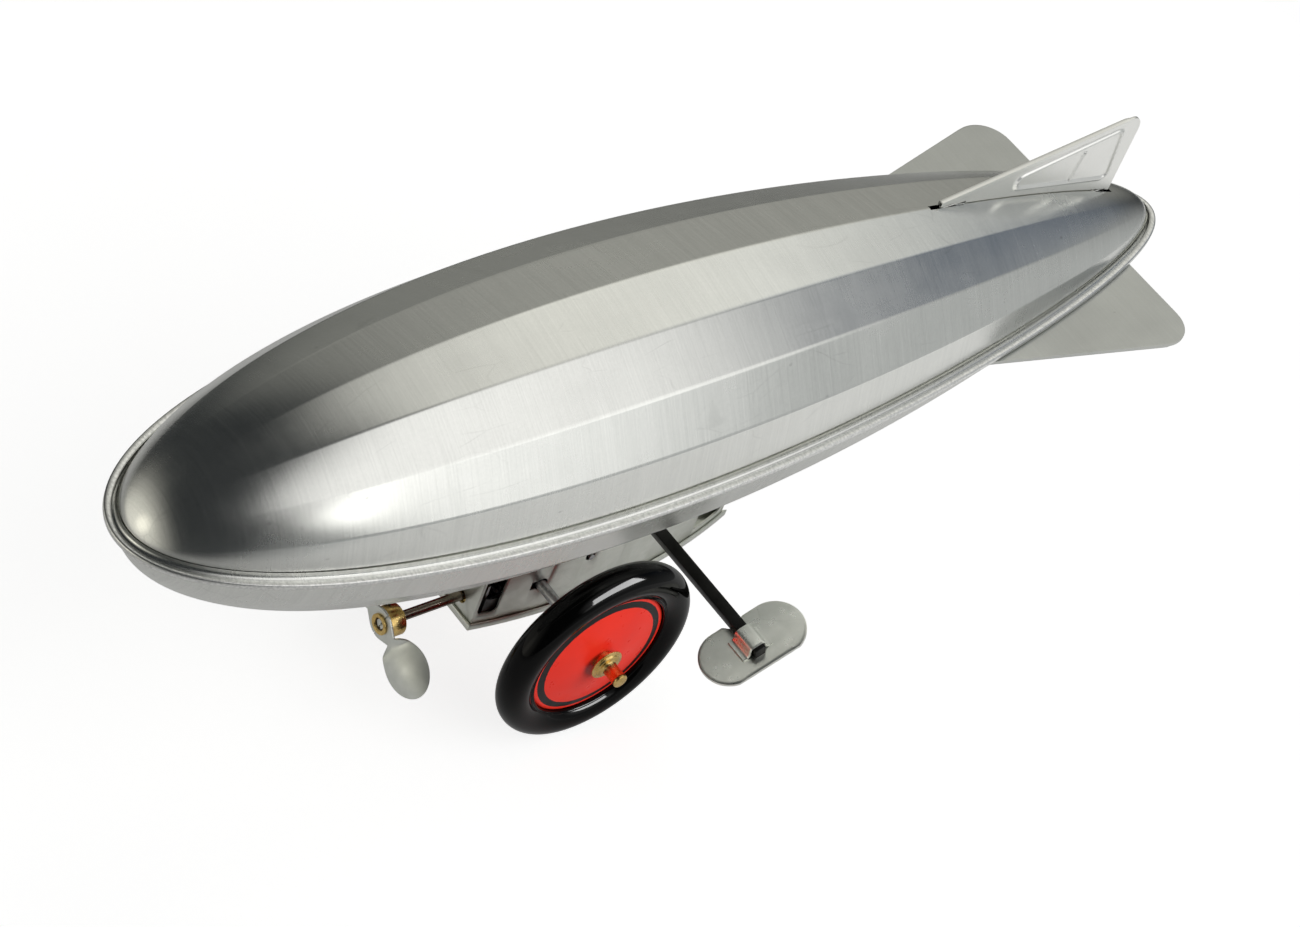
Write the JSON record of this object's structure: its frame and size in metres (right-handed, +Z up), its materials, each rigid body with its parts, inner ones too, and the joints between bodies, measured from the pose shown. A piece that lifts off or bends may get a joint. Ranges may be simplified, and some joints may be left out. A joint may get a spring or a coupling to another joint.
{
  "type": "clockwork toy airship",
  "caption": "Clockwork toy airship: a gored metal hull with tail fins over a boat-shaped gondola, wound by a side key, driving road wheels and a front propeller.",
  "frame": {"origin": "centre of the flat underside of the gondola's tray, under the middle of the hull's length", "axes": "+X to the nose, +Y to the side the winding key stands on, +Z up"},
  "size_m": [0.356, 0.1101, 0.1421],
  "materials": {
    "hull_aluminium": "satin, scratched",
    "tinplate": "dull tinned",
    "steel": "plain",
    "spring_steel": "blued",
    "blackened_steel": "blackened, satin",
    "brass": "turned, slightly dull",
    "red_enamel": "gloss",
    "tyre_rubber": "gloss black"
  },
  "bodies": {
    "frame": {"upper_hull": "hull_aluminium", "lower_hull": "hull_aluminium", "top_fin": "hull_aluminium", "bottom_fin": "hull_aluminium", "port_fin": "hull_aluminium", "starboard_fin": "hull_aluminium", "gondola_body": "tinplate", "gondola_tray": "tinplate", "port_plate": "steel", "starboard_plate": "steel", "plate_pillar": "steel", "front_bracket": "steel", "shaft_bush": "brass", "mainspring": "spring_steel"},
    "road_wheels": {"wheel_axle": "steel", "axle_pinion": "brass", "crown_drive_gear": "brass", "port_disc": "red_enamel", "starboard_disc": "red_enamel", "port_tyre": "tyre_rubber", "starboard_tyre": "tyre_rubber", "port_bush": "brass", "starboard_bush": "brass"},
    "second_train": {"second_arbor": "steel", "second_wheel": "brass"},
    "great_train": {"great_wheel": "brass", "click_spring": "spring_steel"},
    "click_body": {"click": "steel"},
    "winder": {"winding_arbor": "blackened_steel", "key_handle": "tinplate", "ratchet_wheel": "steel"},
    "crown_train": {"crown_arbor": "steel", "crown_wheel": "brass"},
    "screw": {"prop_shaft": "steel", "prop_pinion": "brass", "prop_boss": "brass", "propeller": "tinplate"}
  },
  "joints": [
    {"name": "axle_spin", "type": "hinge", "parent": "frame", "child": "road_wheels", "pos_m": [0.0313, 0, 0.0124], "axis": [0, 1, 0], "continuous": true},
    {"name": "second_spin", "type": "hinge", "parent": "frame", "child": "second_train", "pos_m": [0.01636, 0, 0.01813], "axis": [0, 1, 0], "continuous": true},
    {"name": "great_spin", "type": "hinge", "parent": "frame", "child": "great_train", "pos_m": [-0.0042, 0, 0.0224], "axis": [0, 1, 0], "continuous": true},
    {"name": "crown_spin", "type": "hinge", "parent": "frame", "child": "crown_train", "pos_m": [0.04077, 0, 0.0068], "axis": [0, 1, 0], "continuous": true},
    {"name": "screw_spin", "type": "hinge", "parent": "frame", "child": "screw", "pos_m": [0.06, 0, 0.0068], "axis": [1, 0, 0], "continuous": true},
    {"name": "key_wind", "type": "hinge", "parent": "great_train", "child": "winder", "pos_m": [-0.0042, 0, 0.0224], "axis": [0, 1, 0], "range_deg": [-1440, 0], "deforming": ["mainspring"]},
    {"name": "click_swing", "type": "hinge", "parent": "great_train", "child": "click_body", "pos_m": [-0.00156, 0.0018, 0.03225], "axis": [0, 1, 0], "range_deg": [-8, 0]}
  ],
  "couplings": [
    {"joint": "second_spin", "follows": "axle_spin", "ratio": -0.45455},
    {"joint": "great_spin", "follows": "axle_spin", "ratio": 0.18182},
    {"joint": "crown_spin", "follows": "axle_spin", "ratio": -1.75},
    {"joint": "screw_spin", "follows": "axle_spin", "ratio": -3.5}
  ]
}
